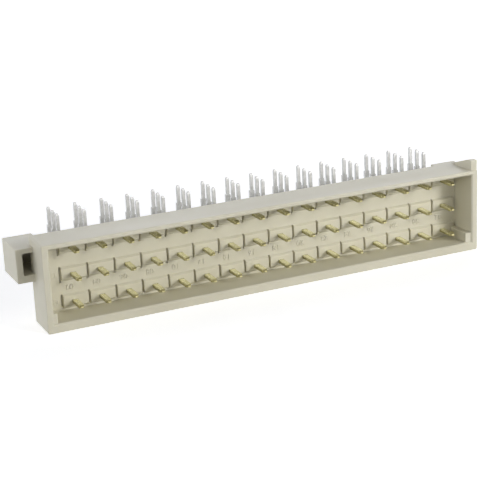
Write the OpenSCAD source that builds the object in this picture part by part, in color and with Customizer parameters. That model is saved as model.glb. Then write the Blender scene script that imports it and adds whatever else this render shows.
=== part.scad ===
// Right-angled board connector: three rows of sixteen flat contacts, pressed through a
// moulded housing with a long shroud that is open to the front.
// Origin: middle of the outline, on the long face that the connector lies on.
// +X runs along the rows towards the highest contact number, +Y from the open side to
// the solder tails, and +Z towards the board that the tails go into.

/* [Contact field] */
// Distance between neighbouring contacts, along a row and from row to row
pitch = 5.08; // [4.2:0.01:6.2]
// Width of a contact strip
strip_w = 1.0; // [0.6:0.05:1.4]
// Thickness of a contact strip
strip_t = 0.6; // [0.4:0.05:0.8]
// How far a blade stands out of its block
blade_reach = 3.95; // [2.5:0.05:5]
// Length of a blade's tapered nose
nose_l = 0.6; // [0.3:0.05:1]
// Share of the width and thickness that is left at the end of a nose
nose_share = 0.5; // [0.3:0.05:0.8]

/* [Solder tails] */
// Width of a solder tail above its shoulder
tail_w = 0.6; // [0.4:0.05:0.9]
// Distance between the rows of tails
tail_pitch = 2.54; // [2:0.01:3.2]
// Distance from the front of the contact blocks to the first row of tails
tail_back = 6.8; // [5.8:0.05:8.2]
// How far the tails stand above the face that the board lies on
tail_reach = 3.05; // [2.4:0.05:4.5]
// How far a tail's shoulder stays below the face that the board lies on
shoulder_drop = 0.35; // [0:0.05:0.6]
// Inner radius of the bend in a contact
bend_r = 0.35; // [0.2:0.05:0.4]
// Least height of the straight part between a contact's bend and its shoulder
riser_min = 0.1; // [0.05:0.05:0.3]
// Length of a tail's tapered point
point_l = 0.35; // [0.2:0.05:1]
// Share of the width and thickness that is left at the end of a tail
point_share = 0.65; // [0.3:0.05:0.8]

/* [Shroud] */
// How far the rim stands in front of the contact blocks
rim_reach = 5.65; // [4.2:0.05:8]
// How far the shroud's rear face lies behind the front of the contact blocks
shroud_back = 1.6; // [1:0.05:2.2]
// Wall at the long side that faces the board
top_wall = 0.9; // [0.8:0.05:1.6]
// Wall at the long side that the connector lies on
bottom_wall = 1.65; // [1:0.05:2.2]
// Wall at the two ends
end_wall = 1.25; // [0.9:0.05:2]
// Room between the top row and the top wall
room_above = 1.77; // [1.5:0.01:2.6]
// Room between the bottom row and the bottom wall
room_below = 1.52; // [1.3:0.01:2.4]
// Room between the last contact and the end wall
end_room = 3.18; // [2.8:0.01:4]
// Radius of the shroud's four outer corners
corner_r = 0.3; // [0.2:0.05:1]
// Lead-in bevel on the inner edge of the rim
lead_in = 0.25; // [0.1:0.05:0.4]
// Bevel on the outer edge of the rim
rim_bevel = 0.1; // [0.1:0.05:0.3]

/* [Keying] */
// How far the keying rib at the lowest contact number stands in from the end wall
key_w_low = 0.7; // [0.5:0.05:1.4]
// How far the keying rib at the highest contact number stands in from the end wall
key_w_high = 1.2; // [0.5:0.05:1.4]
// Height of the keying ribs above the bottom wall
key_h = 1.85; // [1.4:0.05:3.2]
// How far the keying ribs stop short of the rim
key_back = 0.35; // [0.2:0.05:1]
// Height of the lug on top of the end wall at the highest contact number
lug_h = 1.95; // [1:0.05:2.4]
// Length of the lug's level top, before it slopes down to the rear of the shroud
lug_top = 1.2; // [0.8:0.05:2]
// How far the lug's front stays behind the rim
lug_back = 0.3; // [0.2:0.05:0.6]

/* [Contact blocks] */
// How far the blocks stand out of the cavity floor
block_rise = 0.45; // [0.25:0.05:0.8]
// Reach of a block above its contact
block_up = 1.45; // [1:0.05:1.5]
// Reach of a block below its contact
block_down = 1.15; // [1:0.05:1.3]
// Width of the bevels above and below a block
block_bevel = 0.35; // [0.2:0.05:0.5]
// Width of the bevels beside the slots
side_bevel = 0.05; // [0.05:0.05:0.5]
// Width of the slots between the contacts
slot_w = 0.35; // [0.3:0.05:0.8]
// How far the slots sit off the middle between two contacts, towards the higher number
slot_off = 0.2; // [0:0.05:0.4]
// Reach of a slot above and below the contacts beside it
slot_reach = 1.45; // [1:0.05:1.6]
// Depth of the slots behind the front of the blocks
slot_d = 2.4; // [1.2:0.05:3]
// How far the slots stay away from the bottom wall and from the face under the board
slot_sill = 0.7; // [0.5:0.05:1.2]

/* [Body and flanges] */
// Distance from the front of the contact blocks to the rear face of the body
body_back = 4.4; // [3.6:0.05:5.2]
// How far the body stands in from the ends of the shroud
body_inset = 1.5; // [1.3:0.05:1.9]
// Step from the top of the shroud down to the face that the board lies on
board_step = 1.5; // [1.2:0.05:2]
// How far each flange stands out beyond the shroud
ear_reach = 3.2; // [2.8:0.05:4.2]
// Width of a flange
ear_w = 5.5; // [4.8:0.05:6.6]
// Depth of a flange from front to rear
ear_d = 8.15; // [6.6:0.05:9]
// Height of a flange
ear_h = 6.2; // [5:0.05:7.6]
// How far the front of a flange lies ahead of the front of the contact blocks
ear_front = 0.5; // [0.2:0.05:1.2]
// Radius of a flange's edges
ear_r = 0.2; // [0.15:0.05:0.9]
// Wall at the outer side of the pocket in a flange
pocket_wall = 1.2; // [0.9:0.05:1.8]
// Wall at the inner side of the pocket, where the flange runs into the body
pocket_inner = 0.8; // [0.6:0.05:1.2]
// Plate above the pocket
pocket_roof = 0.9; // [0.8:0.05:1.8]
// Plate below the pocket
pocket_floor = 1.25; // [0.8:0.05:1.6]
// Radius of the pocket's corners
pocket_r = 0.3; // [0.1:0.05:0.6]
// Wall behind the pocket
pocket_rear = 1.0; // [0.8:0.05:1.6]

/* [Hidden] */
$fn = 48;
columns = 16;
rows = 3;
row_names = ["upper", "middle", "lower"];
housing_colour = [0.78, 0.76, 0.70];
contact_colour = [0.80, 0.70, 0.42];
// Overrun of a cut past the face that it opens through
over = 0.5;

// Along X: the cavity holds the field, the room at both ends and one unused half step
spare = pitch / 2;
cavity_half = ((columns - 1) * pitch + 2 * end_room + spare) / 2;
first_x = -cavity_half + end_room + spare;
shroud_half = cavity_half + end_wall;
total_half = shroud_half + ear_reach;
body_half = shroud_half - body_inset;

// Along Z: wall, room, rows, room and wall
cavity_bottom = bottom_wall;
cavity_top = bottom_wall + room_below + (rows - 1) * pitch + room_above;
shroud_h = cavity_top + top_wall;
seat_z = shroud_h - board_step;
tail_z = seat_z + tail_reach;
ear_z = seat_z - ear_h;

// Along Y: zero is the front of the contact blocks until everything is centred
floor_y = block_rise;
rim_y = -rim_reach;
blade_y = -blade_reach;
ear_y = -ear_front;
rear_y = tail_y(rows - 1) + strip_t / 2;
mid_y = (rim_y + rear_y) / 2;

function contact_x(c) = first_x + c * pitch;
function slot_x(c) = contact_x(c) - pitch / 2 + slot_off;
function row_z(r) = bottom_wall + room_below + (rows - 1 - r) * pitch;
function tail_y(r) = tail_back + r * tail_pitch;
function bend_z(r) = row_z(r) + strip_t / 2 + bend_r;
function shoulder_z(r) = max(seat_z - shoulder_drop, bend_z(r) + riser_min);
function contact_name(r, c) = str("contact_", row_names[r], "_", 2 * (c + 1));

// A flat outline in Y and Z, swept along X and centred on it
module swept_x(length) {
    rotate([90, 0, 90]) translate([0, 0, -length / 2]) linear_extrude(length) children();
}

// A flat outline in X and Z, swept from y0 to y1
module swept_y(y0, y1) {
    translate([0, y1, 0]) rotate([90, 0, 0]) linear_extrude(y1 - y0) children();
}

// A box between two corners
module span(a, b) {
    translate(a) cube(b - a);
}

// A rectangle about the origin with round corners
module round_rect(w, h, r) {
    square([w - 2 * r, h], center = true);
    square([w, h - 2 * r], center = true);
    for (x = [-1, 1], y = [-1, 1]) translate([x * (w / 2 - r), y * (h / 2 - r)]) circle(r);
}

// Side view of a strip: blade, leg through the body, bend and riser up to the shoulder
module strip_side(r) {
    z = row_z(r);
    bend_y = tail_y(r) - strip_t / 2 - bend_r;
    bend_out = bend_r + strip_t;
    polygon([
        [blade_y, z - strip_t / 2 * nose_share],
        [blade_y + nose_l, z - strip_t / 2],
        [bend_y, z - strip_t / 2],
        [bend_y, z + strip_t / 2],
        [blade_y + nose_l, z + strip_t / 2],
        [blade_y, z + strip_t / 2 * nose_share]
    ]);
    difference() {
        translate([bend_y, bend_z(r)]) intersection() {
            circle(bend_out);
            translate([0, -bend_out]) square(bend_out);
        }
        translate([bend_y, bend_z(r)]) circle(bend_r);
    }
    translate([tail_y(r) - strip_t / 2, bend_z(r)]) square([strip_t, shoulder_z(r) - bend_z(r)]);
}

// Plan of a strip with its tapered nose
module strip_plan(r) {
    polygon([
        [-strip_w / 2 * nose_share, blade_y],
        [strip_w / 2 * nose_share, blade_y],
        [strip_w / 2, blade_y + nose_l],
        [strip_w / 2, rear_y],
        [-strip_w / 2, rear_y],
        [-strip_w / 2, blade_y + nose_l]
    ]);
}

// Outline of a tail with a tapered point, w wide, from just under its shoulder up
module tail_outline(r, w) {
    foot_z = shoulder_z(r) - riser_min;
    polygon([
        [-w / 2, foot_z],
        [w / 2, foot_z],
        [w / 2, tail_z - point_l],
        [w / 2 * point_share, tail_z],
        [-w / 2 * point_share, tail_z],
        [-w / 2, tail_z - point_l]
    ]);
}

// One contact, stamped from strip and bent through a right angle
module contact(r, c) {
    color(contact_colour) translate([contact_x(c), -mid_y, 0]) {
        intersection() {
            swept_x(strip_w) strip_side(r);
            linear_extrude(shroud_h) strip_plan(r);
        }
        translate([0, tail_y(r), 0]) intersection() {
            swept_x(tail_w) tail_outline(r, strip_t);
            swept_y(-strip_t / 2, strip_t / 2) tail_outline(r, tail_w);
        }
    }
}

// A tapering mouth: half sizes a at y0 and b at y1, about the middle of the cavity
module mouth(y0, y1, a, b) {
    z = (cavity_bottom + cavity_top) / 2;
    intersection() {
        swept_x(2 * max(a[0], b[0]))
            polygon([[y0, z - a[1]], [y1, z - b[1]], [y1, z + b[1]], [y0, z + a[1]]]);
        linear_extrude(shroud_h)
            polygon([[-a[0], y0], [a[0], y0], [b[0], y1], [-b[0], y1]]);
    }
}

// The shroud's outer block with round corners and a bevelled rim
module shroud_block() {
    intersection() {
        swept_y(rim_y, shroud_back) translate([0, shroud_h / 2])
            round_rect(2 * shroud_half, shroud_h, corner_r);
        swept_x(2 * shroud_half) polygon([
            [rim_y, rim_bevel], [rim_y + rim_bevel, 0], [shroud_back, 0],
            [shroud_back, shroud_h], [rim_y + rim_bevel, shroud_h], [rim_y, shroud_h - rim_bevel]
        ]);
        linear_extrude(shroud_h) polygon([
            [-shroud_half + rim_bevel, rim_y], [shroud_half - rim_bevel, rim_y],
            [shroud_half, rim_y + rim_bevel], [shroud_half, shroud_back],
            [-shroud_half, shroud_back], [-shroud_half, rim_y + rim_bevel]
        ]);
    }
}

// The space inside the shroud, with the lead-in bevel round its mouth
module cavity() {
    half = [cavity_half, (cavity_top - cavity_bottom) / 2];
    span([-cavity_half, rim_y - over, cavity_bottom], [cavity_half, floor_y, cavity_top]);
    mouth(rim_y - over, rim_y + lead_in,
        [half[0] + lead_in + over, half[1] + lead_in + over], half);
}

// The raised bands that carry the contacts, parted into bevelled blocks
module blocks() {
    band_l = columns * pitch - slot_off;
    difference() {
        for (r = [0 : rows - 1])
            translate([slot_x(0) + band_l / 2, 0, row_z(r)]) swept_x(band_l)
                polygon([
                    [0, -block_down + block_bevel], [floor_y, -block_down],
                    [floor_y + over, -block_down], [floor_y + over, block_up],
                    [floor_y, block_up], [0, block_up - block_bevel]
                ]);
        for (c = [0 : columns - 1])
            translate([slot_x(c), 0, cavity_bottom])
                linear_extrude(cavity_top - cavity_bottom) polygon([
                    [-slot_w / 2, floor_y], [slot_w / 2, floor_y],
                    [slot_w / 2 + 2 * side_bevel, -floor_y], [-slot_w / 2 - 2 * side_bevel, -floor_y]
                ]);
    }
}

// Narrow slots between the contacts of a row
module slots() {
    for (r = [0 : rows - 1], c = [0 : columns - 1]) {
        x = slot_x(c);
        low = max(row_z(r) - slot_reach, cavity_bottom + slot_sill);
        high = min(row_z(r) + slot_reach, seat_z - slot_sill);
        span([x - slot_w / 2, -over, low], [x + slot_w / 2, slot_d, high]);
    }
}

// The passages that hold the contacts
module passages() {
    for (r = [0 : rows - 1], c = [0 : columns - 1])
        span([contact_x(c) - strip_w / 2, -over, row_z(r) - strip_t / 2],
            [contact_x(c) + strip_w / 2, body_back + over, row_z(r) + strip_t / 2]);
}

// Keying rib in the lower corner of the cavity on the side s, w wide
module key_rib(s, w) {
    translate([s * (cavity_half + over - (w + over) / 2), 0, 0])
        swept_x(w + over) polygon([
            [rim_y + key_back, cavity_bottom - over], [floor_y + over, cavity_bottom - over],
            [floor_y + over, cavity_bottom + key_h], [rim_y + key_back, cavity_bottom + key_h]
        ]);
}

// Lug on top of the end wall, with a level top and a slope to the rear
module lug() {
    front = rim_y + lug_back;
    translate([shroud_half - end_wall / 2, 0, 0]) swept_x(end_wall) polygon([
        [front, shroud_h - corner_r], [front, shroud_h + lug_h],
        [front + lug_top, shroud_h + lug_h],
        [shroud_back, shroud_h], [shroud_back, shroud_h - corner_r]
    ]);
}

// Flange on the side s: a block with round edges and a pocket that opens to the front beside
// the shroud, with a root that joins the flange to the body
module ear(s) {
    inner = total_half - ear_w;
    root = [min(inner, body_half) - over, inner + ear_r];
    outer = total_half - pocket_wall;
    pocket_w = outer - inner - pocket_inner;
    pocket_h = ear_h - pocket_floor - pocket_roof;
    difference() {
        intersection() {
            translate([s * (total_half - ear_w / 2), ear_y + ear_d / 2, ear_z])
                linear_extrude(ear_h) round_rect(ear_w, ear_d, ear_r);
            swept_y(ear_y, ear_y + ear_d)
                translate([s * (total_half - ear_w / 2), ear_z + ear_h / 2])
                    round_rect(ear_w, ear_h, ear_r);
        }
        swept_y(ear_y - over, ear_y + ear_d - pocket_rear)
            translate([s * (outer - pocket_w / 2), ear_z + pocket_floor + pocket_h / 2])
                round_rect(pocket_w, pocket_h, pocket_r);
    }
    translate([s * (root[0] + root[1]) / 2, 0, 0]) swept_x(root[1] - root[0])
        polygon([[floor_y, ear_z], [body_back, ear_z], [body_back, seat_z], [floor_y, seat_z]]);
}

// The moulded housing: shroud, floor, body and flanges in one piece
module housing() {
    color(housing_colour) translate([0, -mid_y, 0]) difference() {
        union() {
            difference() {
                union() {
                    shroud_block();
                    span([-body_half, floor_y, 0], [body_half, body_back, seat_z]);
                    for (s = [-1, 1]) ear(s);
                }
                cavity();
            }
            blocks();
            key_rib(-1, key_w_low);
            key_rib(1, key_w_high);
            lug();
        }
        slots();
        passages();
    }
}

housing();
for (r = [0 : rows - 1], c = [0 : columns - 1])
    contact(r, c);
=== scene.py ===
"""Looks of the right-angled board connector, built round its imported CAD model.

Lengths are millimetres in the model's frame, unless a comment says metres.
"""

import math

import bpy
from mathutils import Matrix, Vector


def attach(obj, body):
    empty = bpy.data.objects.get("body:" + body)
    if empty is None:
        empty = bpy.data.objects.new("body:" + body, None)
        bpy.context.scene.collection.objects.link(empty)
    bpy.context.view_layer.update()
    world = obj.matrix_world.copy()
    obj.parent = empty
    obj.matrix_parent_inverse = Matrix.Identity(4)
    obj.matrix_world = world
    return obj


MM = 0.001

# The contact grid and the faces inside the shroud, as the CAD source has them.
COLUMNS, PITCH, FIRST_X = 16, 5.08, -36.83
ROW_Z = {"a": 13.33, "c": 8.25, "e": 3.17}
BLADE_HALF_W, BLADE_HALF_T = 0.5, 0.3
BLOCK_FACE_Y, BLOCK_RISE = -3.265, 0.45
FLOOR_Y = BLOCK_FACE_Y + BLOCK_RISE

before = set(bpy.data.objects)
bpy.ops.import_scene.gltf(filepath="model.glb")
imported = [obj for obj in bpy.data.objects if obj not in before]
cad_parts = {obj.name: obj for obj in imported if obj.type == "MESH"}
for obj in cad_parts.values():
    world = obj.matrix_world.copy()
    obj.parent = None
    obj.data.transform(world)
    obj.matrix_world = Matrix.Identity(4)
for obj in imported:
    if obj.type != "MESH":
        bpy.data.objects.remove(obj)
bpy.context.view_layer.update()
scene = bpy.context.scene

# The camera fitted to the photo: yaw, pitch and roll in degrees, clip distances in metres.
CAMERA_PLACE = (-106.63, -232.165, 89.15)
CAMERA_TURN = (24.06, 17.78, -2.69)
FOCAL_PX, PHOTO_PX, SENSOR_W = 1427.0, 480.0, 36.0
CLIP_NEAR, CLIP_FAR = 0.01, 20

# Lamps: name, azimuth and elevation in degrees, distance and size in metres, share, colour.
# Azimuth is 0 in front of the mating side and 90 at the right. The share is the part of a plain
# level that a lamp adds to a surface facing it. The keys stand at the front right, and soft
# lamps go round from the left to the back.
WHITE, COOL = (1, 1, 1), (0.965, 0.985, 1.06)
LAMPS = (
    ("key_high", 35, 22, 0.7, 0.12, 0.245, WHITE),
    ("key_low", 32, 10, 0.7, 0.2, 0.245, WHITE),
    ("key_near_right", 45, 16, 0.35, 0.14, 0.08, WHITE),
    ("key_near_front", 30, 22, 0.35, 0.14, 0.12, WHITE),
    ("front_top", 0, 45, 0.8, 0.5, 0.08, WHITE),
    ("front_left", -35, 12, 0.8, 0.5, 0.06, WHITE),
    ("left_front", -70, 12, 1.6, 1.0, 0.235, COOL),
    ("left_high", -90, 40, 1.6, 1.0, 0.08, COOL),
    ("left_rear", -110, 12, 1.6, 1.0, 0.30, COOL),
    ("rear_left", -150, 12, 0.8, 0.5, 0.12, COOL),
    ("rear", 175, 12, 0.8, 0.5, 0.095, COOL),
    ("rear_right", 140, 12, 0.8, 0.5, 0.055, COOL),
    ("rear_right_high", 150, 40, 0.8, 0.5, 0.22, COOL),
)
AIM_HEIGHT = 8

# Backdrop: its strength where it is seen, and as a light.
SEEN_BACKDROP, LIT_BACKDROP = 1.0, 0.0
# Floor: half its width in metres, and its glow, which rises over a span of distance in metres.
FLOOR_HALF, FLOOR_GREY = 3.0, (0.80, 0.80, 0.80)
GLOW_REACH, GLOW_STRENGTH = (0.10, 0.50), (0.60, 1.0)

# Plastic: colours, among them a paler edge colour that is partly wear and partly painted highlight,
# roughness, what passes under the surface, edge radius and bump.
PLASTIC_CLOUDS = (0.605, 0.572, 0.446), (0.641, 0.609, 0.483)
PLASTIC_SPECK, SPECK_SHARE = (0.679, 0.652, 0.557), 0.25
# The gap colour is painted shade round each contact.
PLASTIC_GAP_SHADE, PLASTIC_WORN_HIGHLIGHT = (0.37, 0.34, 0.24), (0.72, 0.69, 0.57)
PLASTIC_ROUGH, WORN_POLISH, PLASTIC_IOR = (0.42, 0.56), -0.25, 1.55
UNDER_WEIGHT, UNDER_RADIUS, UNDER_SCALE = 0.35, (1.0, 1.0, 0.8), 0.4
PLASTIC_EDGE, PLASTIC_BUMP, PLASTIC_GRAIN = 0.12, 0.25, 0.02
# Painted shade in the gap round a contact fades out between these values of Y, of X from the
# middle, and of the distance from the contact's side.
GAP_SHADE_IN_FRONT, GAP_SHADE_BEHIND, GAP_SHADE_ENDS = (-3.6, -3.4), (-3.1, -2.9), (40.5, 41.0)
GAP_SHADE_INNER, GAP_SHADE_OUTER = 0.03, 0.11
# Edge wear and painted edge highlight: its reach from an edge, how far the normals agree there, and
# its share, in patches.
WEAR_HIGHLIGHT_REACH, WEAR_HIGHLIGHT_BEND, WEAR_HIGHLIGHT_SHARE, WEAR_HIGHLIGHT_SAMPLES = 0.25, (0.80, 0.99), (0.1, 0.55), 6

# Contacts: colours and roughness of the gold blades and of the dull tin on the tails.
GOLD = (0.77, 0.745, 0.47), (0.83, 0.80, 0.535)
# The lower side colour is painted shade on the lower halves of the blades' sides.
BLADE_LOWER_SIDE_SHADE, BLADE_NOSE = (0.53, 0.50, 0.28), (0.46, 0.42, 0.23)
TIN, TIN_CUT = ((0.48, 0.48, 0.47), (0.57, 0.57, 0.56)), (0.40, 0.40, 0.39)
GOLD_ROUGH, TIN_ROUGH, NOSE_ROUGH = (0.20, 0.30), (0.52, 0.66), 0.5
CONTACT_EDGE, CONTACT_BUMP, CONTACT_GRAIN = 0.05, 0.2, 0.01
# Where gold turns to tin, a blade to its nose, a tail to its cut end and a side to its lower half,
# which is painted shade.
TIN_FROM_Y, NOSE_Y, CUT_Z = (-1.2, -0.8), (-6.95, -6.65), (17.1, 17.4)
SIDE_NORMAL_X, LOWER_SIDE_Z = (0.6, 0.8), (0.0, 0.08)
# Samples of the rounded edges of both materials.
EDGE_SAMPLES = 4

# Noise textures: lumps to the metre, detail, roughness, and stretch along the axes.
CLOUD_NOISE, SPECK_NOISE, GRAIN_NOISE = (60, 3, 0.5), (2600, 2, 0.6), (5200, 2, 0.6)
FLOW_NOISE, WEAR_HIGHLIGHT_NOISE = (220, 3, 0.5, (0.15, 1, 1)), (700, 3, 0.6)
STREAK_NOISE, PATCH_NOISE = (9000, 2, 0.5, (1, 0.06, 1)), (1500, 2, 0.5)
# The parts of a noise texture's range that are spread from nought to one.
BROAD, FINE, SPECKS_ONLY = (0.35, 0.65), (0.3, 0.7), (0.62, 0.75)

# Numerals and row letters: size, relief each way from the floor's face, and where they stand.
NUMERAL_SIZE, NUMERAL_RELIEF, NUMERAL_SHIFT_X, NUMERAL_Z = 1.6, 0.10, -0.7, 5.89
LETTER_SIZE, LETTER_RELIEF, LETTER_X = 2.4, 0.09, -40.23
GLYPH_STEPS = 4

# Floors of the slots between the columns: width, shift and clearance, depth, hollow and thickness.
SLOT_W, SLOT_OFF, SLOT_GAP = 0.35, 0.2, 0.005
SLOT_DEPTH, SLOT_SAG, SLOT_BACK, SLOT_STEPS = 0.75, 0.08, 0.25, 6
SLOT_Z = ((2.1, 4.62), (6.8, 9.7), (11.88, 13.8))


def metres(values):
    return [v * MM for v in values]


class Nodes:
    """A short hand for building the node tree of a material or a world."""

    def __init__(self, owner, output):
        owner.use_nodes = True
        self.tree = owner.node_tree
        self.tree.nodes.clear()
        self.out = self.add(output)

    def add(self, kind, inputs=None, **settings):
        """A new node with these settings. inputs gives a socket or a constant for each input."""
        node = self.tree.nodes.new(kind)
        for key, value in settings.items():
            setattr(node, key, value)
        for key, value in (inputs or {}).items():
            socket = node.inputs[key]
            if isinstance(value, bpy.types.NodeSocket):
                self.tree.links.new(value, socket)
            elif socket.type == "RGBA":
                socket.default_value = (*value, 1)
            else:
                socket.default_value = value
        return node

    def show(self, shader):
        """Makes a shader node the surface."""
        self.tree.links.new(shader.outputs[0], self.out.inputs["Surface"])

    def place(self, kind):
        return self.add("ShaderNodeTexCoord").outputs[kind]

    def axes(self, kind):
        return self.add("ShaderNodeSeparateXYZ", {"Vector": self.place(kind)}).outputs

    def calc(self, operation, *values):
        return self.add("ShaderNodeMath", dict(enumerate(values)), operation=operation).outputs[0]

    def product(self, first, *others):
        for other in others:
            first = self.calc("MULTIPLY", first, other)
        return first

    def ramp(self, value, span, low, high):
        """Goes from low to high over the span of the value, and stays level beyond it."""
        inputs = {
            "Value": value,
            "From Min": span[0],
            "From Max": span[1],
            "To Min": low,
            "To Max": high,
        }
        return self.add("ShaderNodeMapRange", inputs).outputs[0]

    def noise(self, scale, detail, rough, stretch=(1, 1, 1)):
        """Noise on the object's own coordinates, with lumps of 1/scale metres."""
        mapped = self.add("ShaderNodeMapping", {"Vector": self.place("Object"), "Scale": stretch})
        inputs = {
            "Vector": mapped.outputs["Vector"],
            "Scale": scale,
            "Detail": detail,
            "Roughness": rough,
        }
        return self.add("ShaderNodeTexNoise", inputs).outputs["Fac"]

    def mix_value(self, factor, a, b):
        return self.add("ShaderNodeMix", {0: factor, 2: a, 3: b}).outputs[0]

    def mix_colour(self, factor, a, b):
        return self.add("ShaderNodeMix", {0: factor, 6: a, 7: b}, data_type="RGBA").outputs[2]

    def mix_shader(self, factor, a, b):
        return self.add("ShaderNodeMixShader", {0: factor, 1: a.outputs[0], 2: b.outputs[0]})

    def normal(self, edge, height, strength, depth):
        """Edges rounded by a radius, with a fine bump over them."""
        bevel = self.add("ShaderNodeBevel", {"Radius": edge * MM}, samples=EDGE_SAMPLES)
        inputs = {
            "Strength": strength,
            "Distance": depth * MM,
            "Height": height,
            "Normal": bevel.outputs["Normal"],
        }
        return self.add("ShaderNodeBump", inputs).outputs["Normal"]

    def seen_directly(self):
        """One for a camera, glossy or transmission ray, and else nought."""
        path = self.add("ShaderNodeLightPath").outputs
        seen = path["Is Camera Ray"]
        for other in ("Is Glossy Ray", "Is Transmission Ray"):
            seen = self.calc("MAXIMUM", seen, path[other])
        return seen


def make_camera():
    yaw, pitch, roll = (math.radians(a) for a in CAMERA_TURN)
    right = Vector((math.cos(yaw), -math.sin(yaw), 0))
    ahead = Vector(
        (math.sin(yaw) * math.cos(pitch), math.cos(yaw) * math.cos(pitch), -math.sin(pitch))
    )
    up = right.cross(ahead)
    x = math.cos(roll) * right + math.sin(roll) * up
    y = -math.sin(roll) * right + math.cos(roll) * up
    turn = Matrix((x, y, -ahead)).transposed().to_4x4()
    data = bpy.data.cameras.new("photo_camera")
    data.sensor_width = SENSOR_W
    data.lens = FOCAL_PX / PHOTO_PX * SENSOR_W
    data.clip_start, data.clip_end = CLIP_NEAR, CLIP_FAR
    cam = bpy.data.objects.new("photo_camera", data)
    cam.matrix_world = Matrix.Translation(Vector(CAMERA_PLACE) * MM) @ turn
    scene.collection.objects.link(cam)
    scene.camera = cam


def area_light(name, azimuth, elevation, distance, size, share, colour):
    """A soft square lamp that looks at the part."""
    a, e = math.radians(azimuth), math.radians(elevation)
    away = Vector((math.sin(a) * math.cos(e), -math.cos(a) * math.cos(e), math.sin(e)))
    data = bpy.data.lights.new(name, "AREA")
    data.shape, data.size = "SQUARE", size
    data.energy = share * math.pi ** 2 * distance ** 2
    data.color = colour
    lamp = bpy.data.objects.new(name, data)
    lamp.location = away * distance + Vector((0, 0, AIM_HEIGHT * MM))
    lamp.rotation_mode = "QUATERNION"
    lamp.rotation_quaternion = (-away).to_track_quat("-Z", "Y")
    scene.collection.objects.link(lamp)


def make_world():
    """A white backdrop that is seen but lights nothing."""
    scene.world = bpy.data.worlds.new("studio")
    n = Nodes(scene.world, "ShaderNodeOutputWorld")
    lit, seen = (
        n.add("ShaderNodeBackground", {"Color": WHITE, "Strength": strength})
        for strength in (LIT_BACKDROP, SEEN_BACKDROP)
    )
    n.show(n.mix_shader(n.seen_directly(), lit, seen))


def make_floor():
    """A pale floor that glows into the white backdrop, but only where it is seen directly."""
    h = FLOOR_HALF
    mesh = bpy.data.meshes.new("floor")
    mesh.from_pydata([(-h, -h, 0), (h, -h, 0), (h, h, 0), (-h, h, 0)], [], [(0, 1, 2, 3)])
    floor = bpy.data.objects.new("floor", mesh)
    scene.collection.objects.link(floor)
    mat = bpy.data.materials.new("floor")
    n = Nodes(mat, "ShaderNodeOutputMaterial")
    lit = n.add("ShaderNodeBsdfDiffuse", {"Color": FLOOR_GREY})
    away = n.add("ShaderNodeVectorMath", {0: n.place("Object")}, operation="LENGTH")
    strength = n.ramp(away.outputs["Value"], GLOW_REACH, *GLOW_STRENGTH)
    glow = n.add("ShaderNodeEmission", {"Color": WHITE, "Strength": strength})
    both = n.add("ShaderNodeAddShader", {0: lit.outputs[0], 1: glow.outputs[0]})
    n.show(n.mix_shader(n.seen_directly(), lit, both))
    floor.data.materials.append(mat)


def contact_gap_shade(n):
    """Painted shade: one in the narrow gap round each contact on the faces of the blocks, and
    nought elsewhere.
    """
    x, y, z = n.axes("Object")
    parts = [
        n.ramp(y, metres(GAP_SHADE_BEHIND), 1, 0),
        n.ramp(y, metres(GAP_SHADE_IN_FRONT), 0, 1),
        n.ramp(n.calc("ABSOLUTE", x), metres(GAP_SHADE_ENDS), 1, 0),
    ]
    for along, first, half in ((x, FIRST_X, BLADE_HALF_W), (z, ROW_Z["e"], BLADE_HALF_T)):
        shifted = n.calc("SUBTRACT", along, first * MM)
        from_contact = n.calc("PINGPONG", shifted, PITCH / 2 * MM)
        parts.append(n.ramp(from_contact, metres((half + GAP_SHADE_INNER, half + GAP_SHADE_OUTER)), 1, 0))
    return n.product(*parts)


def edge_wear_and_highlight(n):
    """Rises towards an edge, where handling has rubbed the surface paler and smoother, and where
    the paler colour is also a painted highlight of edges catching the light.
    """
    bent = n.add("ShaderNodeBevel", {"Radius": WEAR_HIGHLIGHT_REACH * MM}, samples=WEAR_HIGHLIGHT_SAMPLES)
    flat = n.add("ShaderNodeNewGeometry")
    inputs = {0: bent.outputs["Normal"], 1: flat.outputs["True Normal"]}
    close = n.add("ShaderNodeVectorMath", inputs, operation="DOT_PRODUCT")
    near = n.ramp(close.outputs["Value"], WEAR_HIGHLIGHT_BEND, 1, 0)
    patchy = n.ramp(n.noise(*WEAR_HIGHLIGHT_NOISE), BROAD, *WEAR_HIGHLIGHT_SHARE)
    return n.product(near, patchy)


def plastic():
    """Pebble grey moulded plastic with faint clouds and specks, painted shade round the contacts,
    and paler edges from wear and painted highlight.
    """
    mat = bpy.data.materials.new("housing_plastic")
    n = Nodes(mat, "ShaderNodeOutputMaterial")
    cloud, speck = n.noise(*CLOUD_NOISE), n.noise(*SPECK_NOISE)
    grain, flow = n.noise(*GRAIN_NOISE), n.noise(*FLOW_NOISE)
    worn_and_highlight = edge_wear_and_highlight(n)
    base = n.mix_colour(n.ramp(cloud, BROAD, 0, 1), *PLASTIC_CLOUDS)
    base = n.mix_colour(n.ramp(speck, SPECKS_ONLY, 0, SPECK_SHARE), base, PLASTIC_SPECK)
    # Painted shade in the narrow gap round each contact.
    base = n.mix_colour(contact_gap_shade(n), base, PLASTIC_GAP_SHADE)
    # Paler edges: partly rubbing from handling, partly a painted highlight where edges catch the
    # light.
    base = n.mix_colour(worn_and_highlight, base, PLASTIC_WORN_HIGHLIGHT)
    rough = n.calc("MULTIPLY_ADD", worn_and_highlight, WORN_POLISH, n.ramp(flow, FINE, *PLASTIC_ROUGH))
    inputs = {
        "Base Color": base,
        "Roughness": rough,
        "Normal": n.normal(PLASTIC_EDGE, grain, PLASTIC_BUMP, PLASTIC_GRAIN),
        "IOR": PLASTIC_IOR,
        "Subsurface Weight": UNDER_WEIGHT,
        "Subsurface Radius": UNDER_RADIUS,
        "Subsurface Scale": UNDER_SCALE * MM,
    }
    n.show(n.add("ShaderNodeBsdfPrincipled", inputs))
    return mat


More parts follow.
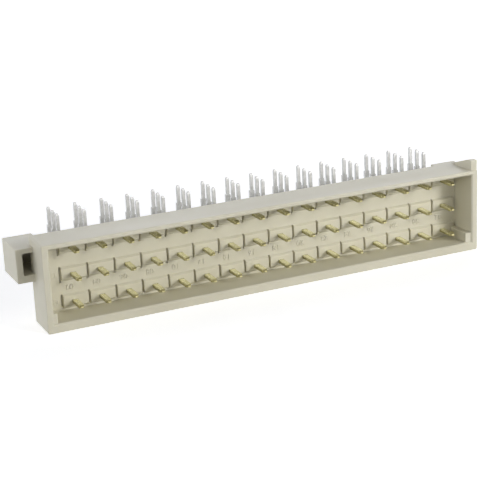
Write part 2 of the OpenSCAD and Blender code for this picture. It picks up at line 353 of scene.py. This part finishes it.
def plating():
    """Pale gold on the blades with painted shade on the lower halves of their sides, bare metal at
    their noses, and dull tin on the tails.
    """
    mat = bpy.data.materials.new("contact_plating")
    n = Nodes(mat, "ShaderNodeOutputMaterial")
    _, y, z = n.axes("Object")
    streak = n.noise(*STREAK_NOISE)
    patch = n.ramp(n.noise(*PATCH_NOISE), BROAD, 0, 1)
    on_tail = n.ramp(y, metres(TIN_FROM_Y), 0, 1)
    at_nose = n.ramp(y, metres(NOSE_Y), 1, 0)
    at_cut = n.ramp(z, metres(CUT_Z), 0, 1)
    on_side = n.ramp(n.calc("ABSOLUTE", n.axes("Normal")[0]), SIDE_NORMAL_X, 0, 1)
    from_lowest = n.calc("SUBTRACT", z, ROW_Z["e"] * MM)
    in_row = n.calc("WRAP", from_lowest, PITCH / 2 * MM, -PITCH / 2 * MM)
    lower = n.ramp(in_row, metres(LOWER_SIDE_Z), 1, 0)
    gold = n.mix_colour(patch, *GOLD)
    # Painted shade on the lower halves of the blades' side faces.
    gold = n.mix_colour(n.product(on_side, lower), gold, BLADE_LOWER_SIDE_SHADE)
    gold = n.mix_colour(at_nose, gold, BLADE_NOSE)
    tin = n.mix_colour(at_cut, n.mix_colour(patch, *TIN), TIN_CUT)
    gold_rough, tin_rough = (n.ramp(streak, FINE, *span) for span in (GOLD_ROUGH, TIN_ROUGH))
    rough = n.mix_value(at_nose, n.mix_value(on_tail, gold_rough, tin_rough), NOSE_ROUGH)
    inputs = {
        "Base Color": n.mix_colour(on_tail, gold, tin),
        "Metallic": 1.0,
        "Roughness": rough,
        "Normal": n.normal(CONTACT_EDGE, streak, CONTACT_BUMP, CONTACT_GRAIN),
    }
    n.show(n.add("ShaderNodeBsdfPrincipled", inputs))
    return mat


def add_piece(name, verts, faces):
    """A piece of the housing's material that the CAD model lacks."""
    mesh = bpy.data.meshes.new(name)
    mesh.from_pydata(verts, [], faces)
    obj = bpy.data.objects.new(name, mesh)
    scene.collection.objects.link(obj)
    obj.data.materials.append(housing_mat)
    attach(obj, "root")


def glyphs(name, marks, size, relief):
    """Raised characters on the cavity floor, turned to read with the tails down."""
    verts, faces = [], []
    for text, x, z in marks:
        curve = bpy.data.curves.new("glyph", "FONT")
        curve.body = text
        curve.size = size
        curve.align_x, curve.align_y = "CENTER", "CENTER"
        curve.extrude = relief
        curve.resolution_u = GLYPH_STEPS
        holder = bpy.data.objects.new("glyph", curve)
        scene.collection.objects.link(holder)
        bpy.context.view_layer.update()
        mesh = holder.evaluated_get(bpy.context.evaluated_depsgraph_get()).to_mesh()
        start = len(verts)
        for v in mesh.vertices:
            verts.append(Vector((x - v.co.x, FLOOR_Y - v.co.z, z - v.co.y)) * MM)
        faces += [[start + i for i in p.vertices] for p in mesh.polygons]
        holder.to_mesh_clear()
        bpy.data.objects.remove(holder)
        bpy.data.curves.remove(curve)
    add_piece(name, verts, faces)


def slot_outline(middle):
    """X and Y round one strip: a hollow front face and a flat back."""
    half = SLOT_W / 2 - SLOT_GAP
    sides = [2 * i / SLOT_STEPS - 1 for i in range(SLOT_STEPS + 1)]
    front = [
        (middle + side * half, BLOCK_FACE_Y + SLOT_DEPTH - SLOT_SAG * side ** 2) for side in sides
    ]
    back_y = BLOCK_FACE_Y + SLOT_DEPTH + SLOT_BACK
    return front + [(middle + half, back_y), (middle - half, back_y)]


def slot_floors():
    """Hollow-faced strips that close the slots between the contacts a little way down."""
    verts, faces = [], []
    for column in range(COLUMNS):
        outline = slot_outline(FIRST_X + (column - 0.5) * PITCH + SLOT_OFF)
        count = len(outline)
        for low, high in SLOT_Z:
            start = len(verts)
            for z in (low + SLOT_GAP, high - SLOT_GAP):
                verts += [Vector((x, y, z)) * MM for x, y in outline]
            for i in range(count):
                j = (i + 1) % count
                faces.append((start + i, start + j, start + count + j, start + count + i))
            faces.append(tuple(start + i for i in reversed(range(count))))
            faces.append(tuple(start + count + i for i in range(count)))
    add_piece("slot_floors", verts, faces)


make_camera()
for lamp in LAMPS:
    area_light(*lamp)
make_world()
make_floor()
scene.view_settings.view_transform = "Standard"

housing_mat = plastic()
contact_mat = plating()
for name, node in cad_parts.items():
    mat = housing_mat if name == "housing" else contact_mat
    for slot in node.material_slots:
        slot.material = mat

numerals = [
    (f"{2 * (c + 1):02d}", FIRST_X + c * PITCH + NUMERAL_SHIFT_X, NUMERAL_Z) for c in range(COLUMNS)
]
glyphs("contact_numerals", numerals, NUMERAL_SIZE, NUMERAL_RELIEF)
slot_floors()
letters = [(k, LETTER_X, z) for k, z in ROW_Z.items()]
glyphs("row_letters", letters, LETTER_SIZE, LETTER_RELIEF)
